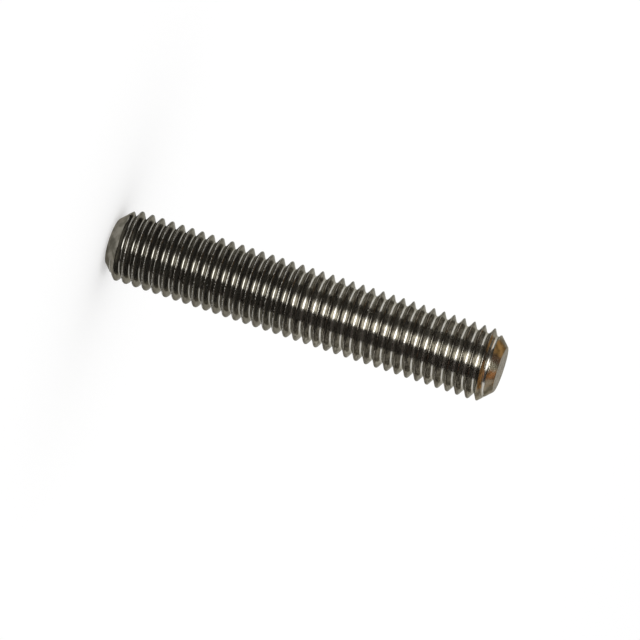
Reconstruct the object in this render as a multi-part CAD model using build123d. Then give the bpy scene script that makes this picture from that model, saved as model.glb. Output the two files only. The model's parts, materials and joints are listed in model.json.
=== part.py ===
from build123d import *

import os
from math import ceil, cos, radians, sin, tan

# A fully threaded stud, in millimetres. It stands on one end: its axis is +Z and its lower end face
# lies on z = 0. The thread is right-hand and runs out at both ends into a chamfer.

INCH = 25.4
THREADS_PER_INCH = 28
MAJOR_DIAMETER = 0.249 * INCH  # across the crests, the largest of a free-fitting 1/4 in thread
LENGTH = 1.375 * INCH
POINT_DIAMETER = 5 / 32 * INCH  # the flat left inside each chamfer
CHAMFER_ANGLE = 45.0  # between the chamfer's slope and the axis
FLANK_ANGLE = 30.0  # between a flank and a plane across the axis
CREST_FLAT_TO_PITCH = 1 / 8
ROOT_RADIUS_TO_PITCH = 0.1443  # a rolled thread's root is round
START_TO_PITCH = 0.333  # how high the crest passes the +X side above z = 0
RUN_OUT_TURNS = 2  # the turns that are rolled past each end and cut away
ROOT_SECTIONS = 5

pitch = INCH / THREADS_PER_INCH
major_radius = MAJOR_DIAMETER / 2
point_radius = POINT_DIAMETER / 2
half_crest = CREST_FLAT_TO_PITCH * pitch / 2
root_radius = ROOT_RADIUS_TO_PITCH * pitch
half_root = root_radius * cos(radians(FLANK_ANGLE))
flank_depth = (pitch / 2 - half_crest - half_root) / tan(radians(FLANK_ANGLE))
flank_foot_radius = major_radius - flank_depth
root_centre_radius = flank_foot_radius + root_radius * sin(radians(FLANK_ANGLE))
chamfer_height = (major_radius - point_radius) / tan(radians(CHAMFER_ANGLE))

# A turn's section, as distance from the axis and height from the middle of its crest.
root_arc_half_angle = 90 - FLANK_ANGLE
ROOT_ARC = [
    (
        root_centre_radius - root_radius * cos(radians(angle)),
        root_radius * sin(radians(angle)) - pitch / 2,
    )
    for angle in (
        root_arc_half_angle * (2 * i / (ROOT_SECTIONS - 1) - 1) for i in range(ROOT_SECTIONS)
    )
]
FLANK_FOOT = ROOT_ARC[-1]
CREST_LOW = (major_radius, -half_crest)
CREST_HIGH = (major_radius, half_crest)
NEXT_ROOT = (flank_foot_radius, pitch / 2 - half_root)


def helix(point):
    """One turn of the helix that a point of the section follows."""
    radius, height = point
    return Pos(0, 0, height) * Edge.make_helix(pitch, pitch, radius)


def helical_band(low_point, high_point):
    """The one-turn surface that a straight stretch of the section sweeps."""
    return Face.make_surface_from_curves(helix(low_point), helix(high_point))


def root_band():
    """The one-turn surface that the round root sweeps."""
    return Shell.make_loft([Wire([helix(point)]) for point in ROOT_ARC]).face()


def section_point(point):
    """A point of the section in the plane that the turns start from."""
    radius, height = point
    return (radius, 0, height)


def start_face(root):
    """The flat face across one turn, from the axis to the thread's section."""
    low_axis = (0, FLANK_FOOT[1] - 2 * half_root)
    high_axis = (0, NEXT_ROOT[1])
    corners = [FLANK_FOOT, CREST_LOW, CREST_HIGH, NEXT_ROOT, high_axis, low_axis, ROOT_ARC[0]]
    root_edge = root.edges().sort_by(SortBy.LENGTH)[:2].sort_by(Axis.Z)[0]
    sides = [
        Edge.make_line(section_point(a), section_point(b)) for a, b in zip(corners, corners[1:])
    ]
    return Face(Wire([root_edge, *sides]))


def end_stair():
    """The one-turn surface that closes the core, from the axis to the edge of a root."""
    low_height = ROOT_ARC[0][1]
    on_axis = Edge.make_line((0, 0, low_height), (0, 0, low_height + pitch))
    return Face.make_surface_from_curves(on_axis, helix(ROOT_ARC[0]))


def endless_thread():
    """The bare thread, sewn from single turns, running past both ends of the stud."""
    root = root_band()
    turn = [
        root,
        helical_band(FLANK_FOOT, CREST_LOW),
        helical_band(CREST_LOW, CREST_HIGH),
        helical_band(CREST_HIGH, NEXT_ROOT),
    ]
    turns = ceil(LENGTH / pitch) + 2 * RUN_OUT_TURNS
    faces = [Pos(0, 0, i * pitch) * face for i in range(turns) for face in turn]
    for end in (0, turns * pitch):
        faces += [Pos(0, 0, end) * face for face in (start_face(root), end_stair())]
    first_crest = (START_TO_PITCH - RUN_OUT_TURNS) * pitch
    return Pos(0, 0, first_crest) * Solid(Shell(faces))


def chamfered_bar():
    """The bar that the thread fills: a cylinder with a chamfer down to a flat at both ends."""
    outside = major_radius + pitch
    run_off = (outside - major_radius) / tan(radians(CHAMFER_ANGLE))
    shoulder = chamfer_height + run_off
    half_outline = Polyline(
        (0, 0),
        (point_radius, 0),
        (outside, shoulder),
        (outside, LENGTH - shoulder),
        (point_radius, LENGTH),
        (0, LENGTH),
        close=True,
    )
    return revolve(Plane.XZ * make_face(half_outline), Axis.Z)


def stud():
    """The whole stud, one solid."""
    return (chamfered_bar() & endless_thread()).solid()


def main():
    os.makedirs("parts", exist_ok=True)
    export_step(stud(), "parts/stud.step")


main()
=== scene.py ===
import json
import logging
import math
from dataclasses import dataclass, field
from enum import Enum

import bmesh
import bpy
from mathutils import Matrix, Vector, noise

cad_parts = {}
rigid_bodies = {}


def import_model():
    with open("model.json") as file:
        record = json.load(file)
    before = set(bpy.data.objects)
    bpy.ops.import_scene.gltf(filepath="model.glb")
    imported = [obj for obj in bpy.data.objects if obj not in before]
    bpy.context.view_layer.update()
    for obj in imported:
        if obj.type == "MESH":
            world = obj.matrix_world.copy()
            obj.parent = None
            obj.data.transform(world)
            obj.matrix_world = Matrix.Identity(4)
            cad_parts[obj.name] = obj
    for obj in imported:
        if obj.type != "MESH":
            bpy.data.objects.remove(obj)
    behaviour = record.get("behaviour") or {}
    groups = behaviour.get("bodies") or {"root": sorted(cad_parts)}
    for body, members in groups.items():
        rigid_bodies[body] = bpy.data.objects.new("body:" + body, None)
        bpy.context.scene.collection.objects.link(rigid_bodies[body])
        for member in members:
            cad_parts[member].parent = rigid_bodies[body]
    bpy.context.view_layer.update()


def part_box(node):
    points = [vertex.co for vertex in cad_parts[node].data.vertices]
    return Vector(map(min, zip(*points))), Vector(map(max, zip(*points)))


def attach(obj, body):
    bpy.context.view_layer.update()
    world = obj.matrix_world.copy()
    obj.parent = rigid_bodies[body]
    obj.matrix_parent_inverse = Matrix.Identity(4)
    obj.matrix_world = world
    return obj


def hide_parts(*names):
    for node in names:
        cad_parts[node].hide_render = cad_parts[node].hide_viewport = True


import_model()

log = logging.getLogger("threaded_stud")

MILLIMETRE = 0.001
INCH = 0.0254
THREADS_PER_INCH = 28
PITCH = INCH / THREADS_PER_INCH
FLANK_ANGLE = math.radians(30)  # between a flank and a plane across the axis
CAMERA_SIDE = -90.0  # degrees about the axis from +X to the side that faces the camera

Colour = tuple[float, float, float, float]
Span = tuple[float, float]
Path = tuple[Span, ...]

WHITE: Colour = (1.0, 1.0, 1.0, 1.0)
SOFT_WHITE: Colour = (1.0, 1.0, 0.98, 1.0)


class End(Enum):
    """The two ends of the stud, by the way their faces look along the axis."""

    LOWER = -1
    UPPER = 1


@dataclass(frozen=True)
class Section:
    """The form of one ridge and half a groove on either side, in pitches.

    Attributes:
        apex: how far the two flanks would meet above the crest.
        crest_radius: the rounding on top of the ridge.
        root_radius: the rounding at the bottom of the groove.
        seam_depth: the fold that rolling leaves along the middle of the crest.
        seam_width: half the width of that fold.
    """

    apex: float
    crest_radius: float
    root_radius: float
    seam_depth: float
    seam_width: float = 0.02

    def drop(self, offset: float) -> float:
        """How far the surface lies under the crest's highest line.

        Args:
            offset: the distance along the axis from the middle of the crest.

        Returns:
            The depth, in pitches.
        """
        slope = 1 / math.tan(FLANK_ANGLE)
        distance = abs(offset)
        half_flat = (self.apex - self.crest_radius) / slope
        root_start = 0.5 - self.root_radius * math.cos(FLANK_ANGLE)
        if distance < half_flat:
            depth = 0.0
        elif distance < half_flat + self.crest_radius * math.cos(FLANK_ANGLE):
            reach = distance - half_flat
            depth = self.crest_radius - math.sqrt(self.crest_radius**2 - reach**2)
        elif distance < root_start:
            depth = slope * distance - self.apex
        else:
            centre = slope * root_start - self.apex - self.root_radius * math.sin(FLANK_ANGLE)
            reach = 0.5 - distance
            depth = centre + math.sqrt(self.root_radius**2 - reach**2)
        return depth + self.seam_depth * math.exp(-((distance / self.seam_width) ** 2))


@dataclass(frozen=True)
class Thread:
    """The rolled thread, which changes its form about half way along the stud.

    Attributes:
        pitch: metres from one ridge to the next.
        start: the height of the crest over the lower end at the +X side, in pitches.
        change: the height where the lower form gives way to the upper one, in pitches.
        change_over: half the length of that change, in pitches.
        lower: the section in the lower half.
        upper: the section in the upper half.
    """

    pitch: float = PITCH
    start: float = 0.333
    change: float = 18.4
    change_over: float = 1.2
    lower: Section = Section(apex=0.115, crest_radius=0.115, root_radius=0.144, seam_depth=0.022)
    upper: Section = Section(apex=0.062, crest_radius=0.04, root_radius=0.18, seam_depth=0.0)

    def share_of_upper(self, height: float) -> float:
        """How much of the upper form there is at a height.

        Args:
            height: the height over the lower end, in metres.

        Returns:
            A number from 0 to 1.
        """
        reach = (height / self.pitch - self.change) / self.change_over
        share = min(1.0, max(0.0, reach / 2 + 0.5))
        return share * share * (3 - 2 * share)

    def offset(self, angle: float, height: float) -> float:
        """The distance along the axis from the nearest crest, in pitches.

        Args:
            angle: the angle about the axis, from +X.
            height: the height over the lower end, in metres.

        Returns:
            A number from -0.5 to 0.5.
        """
        return (height / self.pitch - self.start - angle / math.tau + 0.5) % 1 - 0.5

    def radius(self, crest: float, angle: float, height: float) -> float:
        """The thread's radius at a point.

        Args:
            crest: the crest's radius, in metres.
            angle: the angle about the axis, from +X.
            height: the height over the lower end, in metres.

        Returns:
            The radius, in metres.
        """
        offset = self.offset(angle, height)
        share = self.share_of_upper(height)
        drop = (1 - share) * self.lower.drop(offset) + share * self.upper.drop(offset)
        return crest - drop * self.pitch


@dataclass(frozen=True)
class Wear:
    """The small faults that rolling and handling leave, all seeded by place.

    Attributes:
        crest_ripple: how far the crest wanders, in pitches.
        crest_band: how far from the crest line that ripple and the knocks reach, in pitches.
        seam_ripple: how far the seam's two lips wander, in pitches.
        seam_band: how far from the crest line that ripple reaches, in pitches.
        seam_seed: where in the noise the seam's ripple is taken from.
        grain: metres from one ripple of the seam to the next.
        crest_waves: how many ripples the crest has for each one of the seam.
        nicks: places of knocks as angle in degrees, height in pitches and depth in pitches.
        nick_size: the radius of a knock, in metres.
    """

    crest_ripple: float = 0.012
    crest_band: float = 0.09
    seam_ripple: float = 0.02
    seam_band: float = 0.04
    seam_seed: tuple[float, float, float] = (7.0, 3.0, 1.0)
    grain: float = 0.28 * MILLIMETRE
    crest_waves: float = 0.35
    nicks: tuple[tuple[float, float, float], ...] = (
        (-115.0, 4.1, 0.05),
        (-70.0, 18.2, 0.06),
        (-52.0, 19.6, 0.05),
        (-118.0, 8.7, 0.04),
        (-40.0, 11.3, 0.05),
        (25.0, 27.4, 0.05),
        (140.0, 14.8, 0.06),
        (200.0, 31.2, 0.05),
    )
    nick_size: float = 0.16 * MILLIMETRE

    def change(self, thread: Thread, point: Vector, angle: float) -> float:
        """How far a point of the surface moves outward, in metres.

        Args:
            thread: the thread that wears.
            point: the point on the unworn surface.
            angle: its angle about the axis.

        Returns:
            The move, which is mostly inward.
        """
        offset = abs(thread.offset(angle, point.z))
        near_crest = math.exp(-((offset / self.crest_band) ** 2))
        near_seam = math.exp(-((offset / self.seam_band) ** 2)) * (1 - thread.share_of_upper(point.z))
        place = point / self.grain
        ripple = noise.noise(place * self.crest_waves) * self.crest_ripple * near_crest
        ripple += noise.noise(place + Vector(self.seam_seed)) * self.seam_ripple * near_seam
        radius = math.hypot(point.x, point.y)
        for degrees, height, depth in self.nicks:
            turn = math.radians(degrees)
            knock = Vector((radius * math.cos(turn), radius * math.sin(turn), height * thread.pitch))
            gap = (point - knock).length / self.nick_size
            ripple -= depth * math.exp(-gap * gap) * near_crest
        return ripple * thread.pitch


class Nodes:
    """A short way to write a node tree."""

    def __init__(self, tree: bpy.types.NodeTree) -> None:
        """Takes the tree that the nodes go into."""
        self.tree = tree

    def add(self, kind: str, /, *inputs: object, **settings: object) -> bpy.types.Node:
        """Adds a node.

        Args:
            kind: the node's type name.
            inputs: values or sockets for the first inputs in order, None to leave one alone.
            settings: properties of the node.

        Returns:
            The new node.
        """
        node = self.tree.nodes.new(kind)
        for name, value in settings.items():
            setattr(node, name, value)
        for socket, value in zip(node.inputs, inputs):
            self.feed(socket, value)
        return node

    def feed(self, socket: bpy.types.NodeSocket, value: object) -> None:
        """Links or sets one input.

        Args:
            socket: the input.
            value: an output socket to link, a value to set, or None to leave the input alone.
        """
        if isinstance(value, bpy.types.NodeSocket):
            self.tree.links.new(value, socket)
        elif value is not None:
            socket.default_value = value

    def math(self, operation: str, *inputs: object) -> bpy.types.NodeSocket:
        """A Math node's output."""
        return self.add("ShaderNodeMath", *inputs, operation=operation).outputs[0]

    def ramp(
        self, value: object, low: object, high: object, out_low: float = 0.0, out_high: float = 1.0
    ) -> bpy.types.NodeSocket:
        """A smooth step of a value from one range to another.

        Args:
            value: the value that is read.
            low: where the step begins.
            high: where it ends.
            out_low: what it gives before it begins.
            out_high: what it gives after it ends.

        Returns:
            The step's output.
        """
        inputs = (value, low, high, out_low, out_high)
        return self.add("ShaderNodeMapRange", *inputs, interpolation_type="SMOOTHSTEP").outputs[0]

    def between(self, share: object, ends: Span) -> bpy.types.NodeSocket:
        """A smooth step from one number to another as a share goes from 0 to 1."""
        return self.ramp(share, 0.0, 1.0, *ends)

    def mix(self, share: object, one: object, other: object) -> bpy.types.NodeSocket:
        """A mix of two colours.

        Args:
            share: how much there is of the other, from 0 to 1.
            one: the first colour.
            other: the other colour.

        Returns:
            The mixed colour.
        """
        node = self.add("ShaderNodeMix", data_type="RGBA")
        for name, value in (("Factor_Float", share), ("A_Color", one), ("B_Color", other)):
            socket = next(s for s in node.inputs if s.identifier == name)
            self.feed(socket, value)
        return next(s for s in node.outputs if s.identifier == "Result_Color")

    def bump(self, height: object, strength: float, distance: float) -> bpy.types.NodeSocket:
        """A Bump node's normal.

        Args:
            height: the relief, from 0 to about 1.
            strength: how much of it shows.
            distance: how deep it is, in metres.

        Returns:
            The normal.
        """
        node = self.add("ShaderNodeBump")
        for name, value in (("Strength", strength), ("Distance", distance), ("Height", height)):
            self.feed(node.inputs[name], value)
        return node.outputs[0]


def new_group(name: str, inputs: dict[str, float], outputs: tuple[str, ...]) -> Nodes:
    """Makes an empty shader group.

    Args:
        name: the group's name.
        inputs: each input's name and value.
        outputs: each output's name.

    Returns:
        The writer of the group's node tree.
    """
    tree = bpy.data.node_groups.new(name, "ShaderNodeTree")
    for label, value in inputs.items():
        socket = tree.interface.new_socket(label, in_out="INPUT", socket_type="NodeSocketFloat")
        socket.default_value = value
    for label in outputs:
        tree.interface.new_socket(label, in_out="OUTPUT", socket_type="NodeSocketFloat")
    return Nodes(tree)


@dataclass
class SurfaceGroups:
    """The effects that the two steel finishes are made of.

    Attributes:
        thread: the thread that the effects follow.
        place: the group that tells where a point lies on the thread.
        streaks: the group of fine lines.
        mottle: the group of patches, grains and specks, which are painted glints.
        streaks_round: how often the streaks change round the stud.
        streaks_across: how often they change from one crest to the next.
        streaks_drift: how quickly they change along the stud.
        streak_detail: the levels of finer noise in the streaks, and how strong each is.
        streak_edges: the noise values between which a streak begins.
        patch_scale: the patches to a metre.
        patch_detail: the levels of finer noise in the patches, and how strong each is.
        patch_edges: the noise values between which a patch begins.
        grain_scale: the grains to a metre.
        grain_detail: the levels of finer noise in the grains, and how strong each is.
        grain_edges: the noise values between which a grain begins.
        speck_edges: the distances from a cell's middle between which its speck ends.
        speck_chance: the cell value above which a cell holds a speck.
    """

    thread: Thread
    place: bpy.types.NodeTree = field(init=False)
    streaks: bpy.types.NodeTree = field(init=False)
    mottle: bpy.types.NodeTree = field(init=False)
    streaks_round: float = 5.0
    streaks_across: float = 8.0
    streaks_drift: float = 3.0
    streak_detail: Span = (1.5, 0.6)
    streak_edges: Span = (0.5, 0.6)
    patch_scale: float = 900.0
    patch_detail: Span = (3.0, 0.55)
    patch_edges: Span = (0.35, 0.65)
    grain_scale: float = 9000.0
    grain_detail: Span = (2.0, 0.5)
    grain_edges: Span = (0.35, 0.7)
    speck_edges: Span = (0.09, 0.04)
    speck_chance: float = 0.8

    def __post_init__(self) -> None:
        """Builds the groups once."""
        self.place = self._place_group()
        self.streaks = self._streaks_group()
        self.mottle = self._mottle_group()

    def _place_group(self) -> bpy.types.NodeTree:
        """Where a point lies on the thread.

        Returns:
            The group. Crest is 1 on the crest line and 0 at the bottom of the groove, Height is in
            pitches, Turn is the angle in turns, and Wound is how far along the groove it is in turns.
        """
        write = new_group(
            "Place on the thread",
            {"Pitch": self.thread.pitch, "Start": self.thread.start},
            ("Crest", "Height", "Turn", "Wound"),
        )
        given = write.add("NodeGroupInput").outputs
        coordinates = write.add("ShaderNodeTexCoord").outputs["Object"]
        x, y, z = write.add("ShaderNodeSeparateXYZ", coordinates).outputs
        turn = write.math("DIVIDE", write.math("ARCTAN2", y, x), math.tau)
        height = write.math("DIVIDE", z, given["Pitch"])
        wound = write.math("SUBTRACT", write.math("SUBTRACT", height, given["Start"]), turn)
        from_root = write.math("SUBTRACT", write.math("FRACT", wound), 0.5)
        crest = write.math("MULTIPLY", write.math("ABSOLUTE", from_root), 2.0)
        write.add("NodeGroupOutput", crest, height, turn, wound)
        return write.tree

    def _streaks_group(self) -> bpy.types.NodeTree:
        """Fine lines that run round the stud with the thread, as rolling leaves.

        Returns:
            The group. Height is the lines' relief and Mask is where they are dark.
        """
        write = new_group(
            "Fine streaks",
            {"Round": self.streaks_round, "Across": self.streaks_across, "Drift": self.streaks_drift},
            ("Height", "Mask"),
        )
        given = write.add("NodeGroupInput").outputs
        place = write.add("ShaderNodeGroup", node_tree=self.place).outputs
        angle = write.math("MULTIPLY", place["Turn"], math.tau)
        there_and_back = write.math("PINGPONG", place["Wound"], 1.0)
        vector = write.add(
            "ShaderNodeCombineXYZ",
            write.math("MULTIPLY", write.math("COSINE", angle), given["Round"]),
            write.math("MULTIPLY", write.math("SINE", angle), given["Round"]),
            write.math("MULTIPLY", there_and_back, given["Across"]),
        ).outputs[0]
        drift = write.math("MULTIPLY", place["Height"], given["Drift"])
        noise_inputs = (vector, drift, 1.0, *self.streak_detail)
        height = write.add("ShaderNodeTexNoise", *noise_inputs, noise_dimensions="4D").outputs["Fac"]
        write.add("NodeGroupOutput", height, write.ramp(height, *self.streak_edges))
        return write.tree

    def _mottle_group(self) -> bpy.types.NodeTree:
        """Soft patches, as oil and handling leave, with fine grains and pale specks that are painted
        glints.

        Returns:
            The group. Scale is the patches to a metre and Grain the grains.
        """
        write = new_group(
            "Mottle",
            {"Scale": self.patch_scale, "Grain": self.grain_scale},
            ("Patches", "Grains", "Specks"),
        )
        given = write.add("NodeGroupInput").outputs
        coordinates = write.add("ShaderNodeTexCoord").outputs["Object"]
        patches = write.add("ShaderNodeTexNoise", coordinates, None, given["Scale"], *self.patch_detail)
        grains = write.add("ShaderNodeTexNoise", coordinates, None, given["Grain"], *self.grain_detail)
        cells = write.add("ShaderNodeTexVoronoi", coordinates, None, given["Scale"]).outputs
        cell_value = write.add("ShaderNodeSeparateColor", cells["Color"]).outputs[0]
        chosen = write.math("GREATER_THAN", cell_value, self.speck_chance)
        write.add(
            "NodeGroupOutput",
            write.ramp(patches.outputs["Fac"], *self.patch_edges),
            write.ramp(grains.outputs["Fac"], *self.grain_edges),
            write.math("MULTIPLY", write.ramp(cells["Distance"], *self.speck_edges), chosen),
        )
        return write.tree


@dataclass(frozen=True)
class RolledSteel:
    """The thread's finish: dark and rather dull below, brighter above, with painted highlights in the
    grooves and on the lower crests' seam, painted shade on the crests and painted glints.

    A pair of numbers marked "lower, upper" holds for the two halves of the stud. A place on the
    ridge is a crest share: 0 at the bottom of the groove and 1 on the crest line.

    Attributes:
        dull: the steel's colour in the lower half.
        bright: its colour in the upper half.
        groove_highlight: the light colour painted on the bottom of the groove, a painted highlight.
        grime_and_shade: the dark colour of the grime in the soft patches and the streaks, and of the
            painted shade on the crests.
        painted_highlight: the light colour painted along the crest's seam and in the specks, a painted
            highlight and painted glints.
        edge_tint: the reflection's tint near the outline.
        metal: how metallic the steel is under its film of oil.
        patch_grime: how much grime the soft patches hold.
        streak_grime: how much grime the streaks hold, lower, upper.
        groove_highlight_full: the crest share under which the painted highlight in the groove is full.
        groove_highlight_end: the crest share where it ends, lower, upper.
        groove_highlight_strength: how strong it is, lower, upper.
        crest_shade_edges: the crest shares between which the painted shade on the crest begins.
        crest_shade: how dark the painted shade on the crest is between its grains and in them.
        seam_highlight_edges: the crest shares between which the painted highlight on the seam begins.
        seam_highlight_dots: how strong that painted highlight is between its grains and in them.
        grain_range: the grain values that the painted shade on the crest and the seam's painted
            highlight read.
        streak_range: the streak values that the roughness reads.
        roughness: the roughness between the streaks and in them.
        seam_highlight_roughness: what the seam's painted highlight adds to it.
        speck_roughness: what the specks add to it.
        line_relief: how much of the streaks' relief shows, lower, upper.
        bump_strength: the strength of the relief.
        bump_distance: its depth, in metres.
    """

    dull: Colour = (0.25, 0.238, 0.205, 1.0)
    bright: Colour = (0.37, 0.352, 0.305, 1.0)
    groove_highlight: Colour = (0.63, 0.61, 0.565, 1.0)
    grime_and_shade: Colour = (0.1, 0.09, 0.075, 1.0)
    painted_highlight: Colour = (0.75, 0.73, 0.68, 1.0)
    edge_tint: Colour = (0.55, 0.54, 0.5, 1.0)
    metal: float = 0.92
    patch_grime: float = 0.4
    streak_grime: Span = (0.3, 0.8)
    groove_highlight_full: float = 0.1
    groove_highlight_end: Span = (0.22, 0.38)
    groove_highlight_strength: Span = (0.45, 0.7)
    crest_shade_edges: Span = (0.6, 0.84)
    crest_shade: Span = (0.45, 0.95)
    seam_highlight_edges: Span = (0.92, 0.96)
    seam_highlight_dots: Span = (0.15, 1.0)
    grain_range: Span = (0.2, 0.8)
    streak_range: Span = (0.3, 0.7)
    roughness: Span = (0.12, 0.2)
    seam_highlight_roughness: float = 0.25
    speck_roughness: float = 0.3
    line_relief: Span = (0.25, 1.0)
    bump_strength: float = 0.5
    bump_distance: float = 0.03 * MILLIMETRE

    def make(self, groups: SurfaceGroups) -> bpy.types.Material:
        """Builds the material.

        Args:
            groups: the shared effects.

        Returns:
            The material.
        """
        material = bpy.data.materials.new("rolled_steel")
        material.use_nodes = True
        write = Nodes(material.node_tree)
        shader = material.node_tree.nodes["Principled BSDF"].inputs
        place = write.add("ShaderNodeGroup", node_tree=groups.place).outputs
        streaks = write.add("ShaderNodeGroup", node_tree=groups.streaks).outputs
        mottle = write.add("ShaderNodeGroup", node_tree=groups.mottle).outputs
        thread = groups.thread
        change = (thread.change - thread.change_over, thread.change + thread.change_over)
        upper = write.ramp(place["Height"], *change)
        steel = self._steel(write, place["Crest"], streaks["Mask"], mottle, upper)
        seam_highlight = self._seam_highlight(write, place["Crest"], mottle["Grains"], upper)
        # Painted highlight: a light colour painted along the seam of the lower crests.
        steel = write.mix(seam_highlight, steel, self.painted_highlight)
        # Painted glints: pale specks painted in the light colour.
        steel = write.mix(mottle["Specks"], steel, self.painted_highlight)
        rough = write.ramp(streaks["Height"], *self.streak_range, *self.roughness)
        rough = write.math("ADD", rough, write.math("MULTIPLY", seam_highlight, self.seam_highlight_roughness))
        specks = write.math("MULTIPLY", mottle["Specks"], self.speck_roughness)
        lines = write.math("MULTIPLY", streaks["Height"], write.between(upper, self.line_relief))
        write.feed(shader["Base Color"], steel)
        write.feed(shader["Metallic"], self.metal)
        write.feed(shader["Specular Tint"], self.edge_tint)
        write.feed(shader["Roughness"], write.math("ADD", rough, specks))
        write.feed(shader["Normal"], write.bump(lines, self.bump_strength, self.bump_distance))
        return material

    def _steel(
        self,
        write: Nodes,
        crest: bpy.types.NodeSocket,
        streak: bpy.types.NodeSocket,
        mottle: bpy.types.NodeOutputs,
        upper: bpy.types.NodeSocket,
    ) -> bpy.types.NodeSocket:
        """The steel's colour with its grime, the painted highlight in its groove and the painted shade
        on its crest.

        Args:
            write: the material's node writer.
            crest: the crest share.
            streak: the streaks' mask.
            mottle: the mottle group's outputs.
            upper: how much of the upper half's look there is.

        Returns:
            The colour.
        """
        steel = write.mix(upper, self.dull, self.bright)
        dirt = write.math("MULTIPLY", mottle["Patches"], self.patch_grime)
        steel = write.mix(dirt, steel, self.grime_and_shade)
        scratched = write.math("MULTIPLY", streak, write.between(upper, self.streak_grime))
        steel = write.mix(scratched, steel, self.grime_and_shade)
        # Painted highlight: the bottom of the groove is painted in a lighter colour.
        bottom = write.ramp(crest, write.between(upper, self.groove_highlight_end), self.groove_highlight_full)
        groove_highlight_share = write.math("MULTIPLY", bottom, write.between(upper, self.groove_highlight_strength))
        steel = write.mix(groove_highlight_share, steel, self.groove_highlight)
        # Painted shade: the crest is painted darker, in grains.
        grainy = write.ramp(mottle["Grains"], *self.grain_range, *self.crest_shade)
        crest_shade_share = write.math("MULTIPLY", write.ramp(crest, *self.crest_shade_edges), grainy)
        return write.mix(crest_shade_share, steel, self.grime_and_shade)

    def _seam_highlight(
        self,
        write: Nodes,
        crest: bpy.types.NodeSocket,
        grains: bpy.types.NodeSocket,
        upper: bpy.types.NodeSocket,
    ) -> bpy.types.NodeSocket:
        """Where a highlight is painted along the crest's seam, in the lower half only.

        Args:
            write: the material's node writer.
            crest: the crest share.
            grains: the mottle group's grains.
            upper: how much of the upper half's look there is.

        Returns:
            The mask.
        """
        painted_highlight = write.ramp(crest, *self.seam_highlight_edges)
        lower = write.math("SUBTRACT", 1.0, upper)
        dots = write.ramp(grains, *self.grain_range, *self.seam_highlight_dots)
        return write.math("MULTIPLY", write.math("MULTIPLY", painted_highlight, lower), dots)


@dataclass(frozen=True)
class TurnedSteel:
    """The chamfers' and end flats' finish: turned steel with fine rings.

    Attributes:
        colour: the steel's colour.
        worn: its colour in the soft patches.
        edge_tint: the reflection's tint near the outline.
        metal: how metallic it is.
        patch_scale: the patches to a metre.
        gloss_heights: the heights, in pitches, between which the matt finish becomes glossy.
        roughness: the roughness of the lower end and of the upper end.
        grain_roughness: what the grains add to it.
        ring_spacing: metres from one turned ring to the next.
        ring_relief: the rings' height against the grains'.
        bump_strength: the strength of the relief.
        bump_distance: its depth, in metres.
    """

    colour: Colour = (0.34, 0.32, 0.275, 1.0)
    worn: Colour = (0.16, 0.152, 0.125, 1.0)
    edge_tint: Colour = (0.5, 0.47, 0.42, 1.0)
    metal: float = 0.95
    patch_scale: float = 1400.0
    gloss_heights: Span = (10.0, 20.0)
    roughness: Span = (0.4, 0.16)
    grain_roughness: float = 0.1
    ring_spacing: float = 0.09 * MILLIMETRE
    ring_relief: float = 0.35
    bump_strength: float = 0.25
    bump_distance: float = 0.01 * MILLIMETRE

    def make(self, groups: SurfaceGroups) -> bpy.types.Material:
        """Builds the material.

        Args:
            groups: the shared effects.

        Returns:
            The material.
        """
        material = bpy.data.materials.new("turned_steel")
        material.use_nodes = True
        write = Nodes(material.node_tree)
        shader = material.node_tree.nodes["Principled BSDF"].inputs
        place = write.add("ShaderNodeGroup", node_tree=groups.place).outputs
        mottle_node = write.add("ShaderNodeGroup", node_tree=groups.mottle)
        mottle_node.inputs["Scale"].default_value = self.patch_scale
        mottle = mottle_node.outputs
        gloss = write.ramp(place["Height"], *self.gloss_heights, *self.roughness)
        rough = write.math("ADD", gloss, write.math("MULTIPLY", mottle["Grains"], self.grain_roughness))
        relief = write.math("ADD", self._rings(write), mottle["Grains"])
        write.feed(shader["Base Color"], write.mix(mottle["Patches"], self.colour, self.worn))
        write.feed(shader["Metallic"], self.metal)
        write.feed(shader["Specular Tint"], self.edge_tint)
        write.feed(shader["Roughness"], rough)
        write.feed(shader["Normal"], write.bump(relief, self.bump_strength, self.bump_distance))
        return material

    def _rings(self, write: Nodes) -> bpy.types.NodeSocket:
        """The relief of the rings that the tool leaves about the axis.

        Args:
            write: the material's node writer.

        Returns:
            The relief.
        """
        coordinates = write.add("ShaderNodeTexCoord").outputs["Object"]
        x, y, _ = write.add("ShaderNodeSeparateXYZ", coordinates).outputs
        squares = write.math("ADD", write.math("MULTIPLY", x, x), write.math("MULTIPLY", y, y))
        waves = write.math("MULTIPLY", write.math("SQRT", squares), math.tau / self.ring_spacing)
        return write.math("MULTIPLY", write.math("SINE", waves), self.ring_relief)


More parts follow.
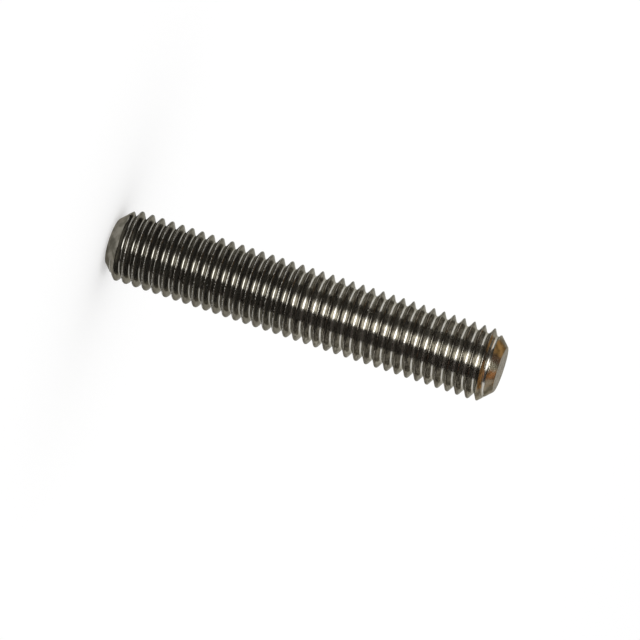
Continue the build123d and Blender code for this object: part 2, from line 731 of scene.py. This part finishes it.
@dataclass
class StudBody:
    """The stud itself: a bar with a rolled thread and a turned chamfer at both ends.

    Attributes:
        low: the lowest corner of the stud's box.
        high: the highest corner.
        thread: the form of its thread.
        wear: its small faults.
        point_radius: the radius of the flat left on each end.
        edge_round: the size of the rounding at the flat's rim.
        rim_steps: each step of that rounding, as width and rise in shares of its size.
        steps: the faces round one turn.
        offsets: where the section has its points between crest and root, in pitches.
        run_past: the turns that are rolled past each end and cut away.
        weld: points nearer than this are one.
        sharp_edge: the angle between faces, in degrees, from which an edge shows as sharp.
        turned_margin: how far under the chamfer's slope a face still counts as turned.
        flat_share: how upright a face's normal is on an end flat.
    """

    low: Vector
    high: Vector
    thread: Thread = Thread()
    wear: Wear = Wear()
    point_radius: float = 5 / 64 * INCH
    edge_round: float = 0.045 * MILLIMETRE
    rim_steps: Path = ((1.0, 0.42), (0.8, 0.08), (1.0, 0.0))
    steps: int = 96
    offsets: tuple[float, ...] = (
        0.0, 0.018, 0.036, 0.056, 0.082, 0.13, 0.21, 0.3, 0.37, 0.43, 0.5
    )
    run_past: int = 2
    weld: float = PITCH / 500
    sharp_edge: float = 38.0
    turned_margin: float = 0.02 * MILLIMETRE
    flat_share: float = 0.99

    @property
    def crest_radius(self) -> float:
        """Half the diameter across the crests."""
        return (self.high.x - self.low.x) / 2

    @property
    def length(self) -> float:
        """The length from end to end."""
        return self.high.z - self.low.z

    def build(self) -> bpy.types.Object:
        """Makes the stud's mesh.

        Returns:
            The finished object, at the origin, with its place in its mesh.
        """
        shape = bmesh.new()
        self._roll(shape)
        self._form(shape)
        for end in End:
            self._close(shape, end)
        bmesh.ops.recalc_face_normals(shape, faces=shape.faces)
        for face in shape.faces:
            face.smooth = True
            face.material_index = int(self._is_turned(face))
        for edge in shape.edges:
            edge.smooth = edge.calc_face_angle(0.0) < math.radians(self.sharp_edge)
        mesh = bpy.data.meshes.new("stud_body")
        shape.to_mesh(mesh)
        shape.free()
        piece = bpy.data.objects.new("stud_body", mesh)
        bpy.context.scene.collection.objects.link(piece)
        log.info("stud_body: %d faces", len(mesh.polygons))
        return piece

    def dress(self, piece: bpy.types.Object) -> None:
        """Gives the stud its two finishes and its place in the frame.

        Args:
            piece: the stud's object.
        """
        groups = SurfaceGroups(self.thread)
        for finish in (RolledSteel(), TurnedSteel()):
            piece.data.materials.append(finish.make(groups))
        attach(piece, "root")
        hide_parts("stud")

    def _roll(self, shape: bmesh.types.BMesh) -> None:
        """Winds one ridge's section round the bar once, and repeats that turn past both ends.

        Args:
            shape: the empty mesh.
        """
        pitch = self.thread.pitch
        sides = [-offset for offset in reversed(self.offsets)] + list(self.offsets[1:])
        heights = [(self.thread.start - self.run_past + side) * pitch for side in sides]
        spots = [
            shape.verts.new((self.thread.radius(self.crest_radius, 0.0, height), 0.0, height))
            for height in heights
        ]
        edges = [shape.edges.new(pair) for pair in zip(spots, spots[1:])]
        bmesh.ops.spin(
            shape,
            geom=spots + edges,
            cent=(0, 0, 0),
            axis=(0, 0, 1),
            dvec=(0, 0, pitch / self.steps),
            angle=math.tau,
            steps=self.steps,
            use_merge=False,
            use_normal_flip=False,
            use_duplicate=False,
        )
        one_turn = shape.verts[:] + shape.edges[:] + shape.faces[:]
        turns = math.ceil(self.length / pitch) + 2 * self.run_past
        for turn in range(1, turns):
            copy = bmesh.ops.duplicate(shape, geom=one_turn)["geom"]
            corners = [part for part in copy if isinstance(part, bmesh.types.BMVert)]
            bmesh.ops.translate(shape, verts=corners, vec=(0, 0, turn * pitch))
        bmesh.ops.remove_doubles(shape, verts=shape.verts, dist=self.weld)

    def _form(self, shape: bmesh.types.BMesh) -> None:
        """Gives each point its worn thread form, and turns the chamfers.

        Args:
            shape: the wound mesh.
        """
        for vertex in shape.verts:
            point = vertex.co
            angle = math.atan2(point.y, point.x)
            radius = self.thread.radius(self.crest_radius, angle, point.z)
            radius += self.wear.change(self.thread, point, angle)
            radius = min(radius, self.crest_radius, self._chamfer_radius(point.z))
            # What runs past the ends is cut away later, and only has to stay off the axis.
            scale = max(radius, self.point_radius / 2) / math.hypot(point.x, point.y)
            vertex.co = (point.x * scale, point.y * scale, point.z)

    def _chamfer_radius(self, height: float) -> float:
        """The radius that the two 45 degree chamfers leave at a height."""
        return self.point_radius + min(height - self.low.z, self.high.z - height)

    def _close(self, shape: bmesh.types.BMesh, end: End) -> None:
        """Cuts the bar off at an end and closes it with a flat whose rim is a little rounded.

        Args:
            shape: the formed mesh.
            end: the end that is closed.
        """
        flat = self.low.z if end is End.LOWER else self.high.z
        cut = bmesh.ops.bisect_plane(
            shape,
            geom=shape.verts[:] + shape.edges[:] + shape.faces[:],
            dist=self.edge_round / 1000,
            plane_co=(0, 0, flat - end.value * self.edge_round / 2),
            plane_no=(0, 0, end.value),
            clear_outer=True,
        )
        rim = [part for part in cut["geom_cut"] if isinstance(part, bmesh.types.BMEdge)]
        cap = bmesh.ops.edgeloop_fill(shape, edges=rim)["faces"]
        for width, rise in self.rim_steps:
            bmesh.ops.inset_region(
                shape,
                faces=cap,
                thickness=self.edge_round * width,
                depth=0.0,
                use_even_offset=True,
            )
            for vertex in cap[0].verts:
                vertex.co.z += end.value * self.edge_round * rise
        for vertex in cap[0].verts:
            vertex.co.z = flat

    def _is_turned(self, face: bmesh.types.BMFace) -> bool:
        """Whether a face lies on a chamfer or an end flat, which were turned and not rolled.

        Args:
            face: the face.

        Returns:
            True on a chamfer or an end flat.
        """
        middle = face.calc_center_median()
        slope = self._chamfer_radius(middle.z) - self.turned_margin
        return math.hypot(middle.x, middle.y) > slope or abs(face.normal.z) > self.flat_share


@dataclass(frozen=True)
class Card:
    """A curved card that stands round the stud out of the camera's sight, for the metal to reflect.

    Attributes:
        name: what the card is called.
        start: where it begins, in degrees about the axis from the camera's side towards +X.
        stop: where it ends.
        path: its section, as distance from the axis and height, in millimetres.
        colour: its colour.
        strength: how brightly it shows.
        steps: the faces round it.
    """

    name: str
    start: float
    stop: float
    path: Path
    colour: Colour
    strength: float = 1.0
    steps: int = 48

    def build(self) -> bpy.types.Object:
        """Makes the card by turning its section about the stud's axis.

        Returns:
            The card's object.
        """
        shape = bmesh.new()
        turn = Matrix.Rotation(math.radians(self.start + CAMERA_SIDE), 4, "Z")
        spots = [
            shape.verts.new(turn @ Vector((radius * MILLIMETRE, 0, height * MILLIMETRE)))
            for radius, height in self.path
        ]
        edges = [shape.edges.new(pair) for pair in zip(spots, spots[1:])]
        bmesh.ops.spin(
            shape,
            geom=spots + edges,
            cent=(0, 0, 0),
            axis=(0, 0, 1),
            angle=math.radians(self.stop - self.start),
            steps=self.steps,
            use_merge=self.stop - self.start == 360,
        )
        mesh = bpy.data.meshes.new(self.name)
        shape.to_mesh(mesh)
        shape.free()
        card = bpy.data.objects.new(self.name, mesh)
        bpy.context.scene.collection.objects.link(card)
        mesh.materials.append(self._paint())
        card.visible_camera = False
        card.visible_diffuse = False
        card.visible_shadow = False
        return card

    def _paint(self) -> bpy.types.Material:
        """A plain glowing or dark paint.

        Returns:
            The material.
        """
        material = bpy.data.materials.new(self.name)
        material.use_nodes = True
        material.node_tree.nodes.clear()
        write = Nodes(material.node_tree)
        glow = write.add("ShaderNodeEmission", self.colour, self.strength)
        write.add("ShaderNodeOutputMaterial", glow.outputs[0])
        return material


FRONT_SHEET: Path = ((28, 0.2), (110, 0.2), (110, 110))
SIDE_SHEET: Path = ((24, 0.2), (115, 0.2), (115, 170))
BACK_SHEET: Path = ((90, 0.3), (130, 0.3), (130, 150))
OVER_END = 45  # millimetres over the floor


def level_sheet(height: float, inner: float, outer: float) -> Path:
    """A level ring's section at a height, between two distances from the axis, in millimetres."""
    return ((inner, height), (outer, height))


def over_end(inner: float, outer: float) -> Path:
    """The section of a level ring that lies about 10 mm over the upper end, in millimetres."""
    return level_sheet(OVER_END, inner, outer)


def seen(write: Nodes) -> bpy.types.NodeSocket:
    """Tells the rays that look at a surface from those that carry its light.

    Args:
        write: the node writer of the floor or of the sky.

    Returns:
        1 for what the camera sees, straight or by way of metal or glass, and 0 for light.
    """
    path = write.add("ShaderNodeLightPath").outputs
    straight = write.math("MAXIMUM", path["Is Camera Ray"], path["Is Glossy Ray"])
    return write.math("MAXIMUM", straight, path["Is Transmission Ray"])


@dataclass
class Studio:
    """The floor, the soft light and the cards round the stud.

    Attributes:
        floor_side: the floor's side, in metres.
        floor_colour: its paint.
        floor_glow: about what the paint lacks of white, to the eye and in the metal.
        sky: the sky's strength as it lights things.
        lamp_side: the side of the overhead lamp, in metres.
        lamp_power: its power, in watts.
        lamp_place: where it hangs, in metres.
        cards: the cards that the metal reflects.
    """

    floor_side: float = 40.0
    floor_colour: Colour = (0.62, 0.62, 0.62, 1.0)
    floor_glow: float = 0.4
    sky: float = 0.95
    lamp_side: float = 0.6
    lamp_power: float = 0.25
    lamp_place: tuple[float, float, float] = (-0.15, -0.1, 0.6)
    cards: tuple[Card, ...] = (
        Card("soft_box", -17, 14, FRONT_SHEET, SOFT_WHITE, 4.3),
        Card("soft_box_edge", -24, -17, FRONT_SHEET, SOFT_WHITE, 2.0),
        Card("soft_box_rim", -32, -24, FRONT_SHEET, SOFT_WHITE, 0.5),
        Card("soft_box_side", 14, 18, FRONT_SHEET, SOFT_WHITE, 1.5),
        Card("soft_canopy", -24, 15, level_sheet(75, 21, 12), SOFT_WHITE, 13.0),
        Card("dark_left", -70, -32, SIDE_SHEET, (0.05, 0.041, 0.028, 1.0)),
        Card("dark_right", 18, 70, SIDE_SHEET, (0.03, 0.018, 0.013, 1.0)),
        Card("dark_ground", 0, 360, level_sheet(0.1, 5.5, 44), (0.04, 0.038, 0.03, 1.0)),
        Card("dark_top", 0, 360, level_sheet(300, 0.5, 300), (0.05, 0.046, 0.036, 1.0)),
        Card("grey_back", 120, 240, BACK_SHEET, (0.85, 0.84, 0.8, 1.0)),
        Card("gold_side", -150, -77, over_end(6, 24), (0.72, 0.41, 0.13, 1.0)),
        Card("brown_side", -77, -31, over_end(2, 8), (0.2, 0.1, 0.05, 1.0)),
        Card("olive_front", -31, 31, over_end(0.5, 6.5), (0.42, 0.39, 0.29, 1.0)),
        Card("orange_side", 31, 78, over_end(2, 8), (0.75, 0.31, 0.08, 1.0)),
        Card("tan_side", 78, 112, over_end(6.5, 11), (0.62, 0.54, 0.43, 1.0)),
        Card("tan_far", 78, 150, over_end(11, 32), (0.66, 0.6, 0.5, 1.0)),
        Card("brown_back", 112, 215, over_end(0.3, 11), (0.58, 0.28, 0.06, 1.0)),
    )

    def build(self) -> None:
        """Sets the floor, the sky, the lamp and the cards."""
        self._floor()
        self._sky()
        self._lamp()
        for card in self.cards:
            card.build()

    def _floor(self) -> None:
        """A plain pale floor that shows white to the eye and in the metal, and keeps the shadow."""
        shape = bmesh.new()
        bmesh.ops.create_grid(shape, x_segments=1, y_segments=1, size=self.floor_side / 2)
        mesh = bpy.data.meshes.new("floor")
        shape.to_mesh(mesh)
        shape.free()
        floor = bpy.data.objects.new("floor", mesh)
        bpy.context.scene.collection.objects.link(floor)
        material = bpy.data.materials.new("pale_floor")
        material.use_nodes = True
        material.node_tree.nodes.clear()
        write = Nodes(material.node_tree)
        paint = write.add("ShaderNodeBsdfDiffuse", self.floor_colour)
        strength = write.math("MULTIPLY", seen(write), self.floor_glow)
        glow = write.add("ShaderNodeEmission", WHITE, strength)
        both = write.add("ShaderNodeAddShader", paint.outputs[0], glow.outputs[0])
        write.add("ShaderNodeOutputMaterial", both.outputs[0])
        mesh.materials.append(material)

    def _sky(self) -> None:
        """An even pale sky, white to the eye and in the metal."""
        world = bpy.data.worlds.new("studio")
        bpy.context.scene.world = world
        world.use_nodes = True
        world.node_tree.nodes.clear()
        write = Nodes(world.node_tree)
        more = write.math("MULTIPLY", seen(write), 1.0 - self.sky)
        back = write.add("ShaderNodeBackground", WHITE, write.math("ADD", self.sky, more))
        write.add("ShaderNodeOutputWorld", back.outputs[0])

    def _lamp(self) -> None:
        """One broad soft lamp overhead, which the metal doesn't reflect."""
        data = bpy.data.lights.new("overhead", "AREA")
        data.shape = "SQUARE"
        data.size = self.lamp_side
        data.energy = self.lamp_power
        lamp = bpy.data.objects.new("overhead", data)
        lamp.location = self.lamp_place
        lamp.rotation_mode = "QUATERNION"
        lamp.rotation_quaternion = Vector(self.lamp_place).to_track_quat("Z", "Y")
        lamp.visible_glossy = False
        bpy.context.scene.collection.objects.link(lamp)


@dataclass(frozen=True)
class Viewpoint:
    """Where the camera stands, and how it is rolled.

    Attributes:
        tilt: degrees that it stands above the horizon.
        slant: degrees that the stud's axis runs down to the right in the picture.
        distance: metres to the stud.
        span: metres across the picture at the stud.
        right: metres that the stud's middle lies right of the picture's middle.
        up: metres that it lies above it.
        sensor: the width of the camera's sensor, in millimetres.
        clip: the nearest and farthest distance that shows, in metres.
    """

    tilt: float = 9.5
    slant: float = 18.43
    distance: float = 500 * PITCH
    span: float = 59.529 * PITCH
    right: float = -1.3208 * PITCH
    up: float = 1.4045 * PITCH
    sensor: float = 36.0
    clip: Span = (0.02, 100.0)

    def build(self, middle: Vector) -> bpy.types.Object:
        """Makes the camera.

        Args:
            middle: the middle of the stud.

        Returns:
            The camera object.
        """
        tilt, slant = math.radians(self.tilt), math.radians(self.slant)
        back = Vector((0, -math.cos(tilt), math.sin(tilt)))
        along = Vector((0, math.sin(tilt), math.cos(tilt)))
        side = Vector((-1, 0, 0))
        right = math.cos(slant) * along + math.sin(slant) * side
        up = -math.sin(slant) * along + math.cos(slant) * side
        data = bpy.data.cameras.new("camera")
        data.sensor_width = self.sensor
        data.lens = self.sensor * self.distance / self.span
        data.clip_start, data.clip_end = self.clip
        camera = bpy.data.objects.new("camera", data)
        turn = Matrix((right, up, back)).transposed().to_4x4()
        place = middle + back * self.distance - self.right * right - self.up * up
        camera.matrix_world = Matrix.Translation(place) @ turn
        bpy.context.scene.collection.objects.link(camera)
        bpy.context.scene.camera = camera
        return camera


def main() -> None:
    """Builds the stud, the studio and the camera."""
    logging.basicConfig(level=logging.INFO, format="%(message)s")
    low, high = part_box("stud")
    Viewpoint().build((low + high) / 2)
    body = StudBody(low, high)
    body.dress(body.build())
    Studio().build()
    settings = bpy.context.scene.view_settings
    settings.view_transform = "Standard"


if __name__ == "__main__":
    main()
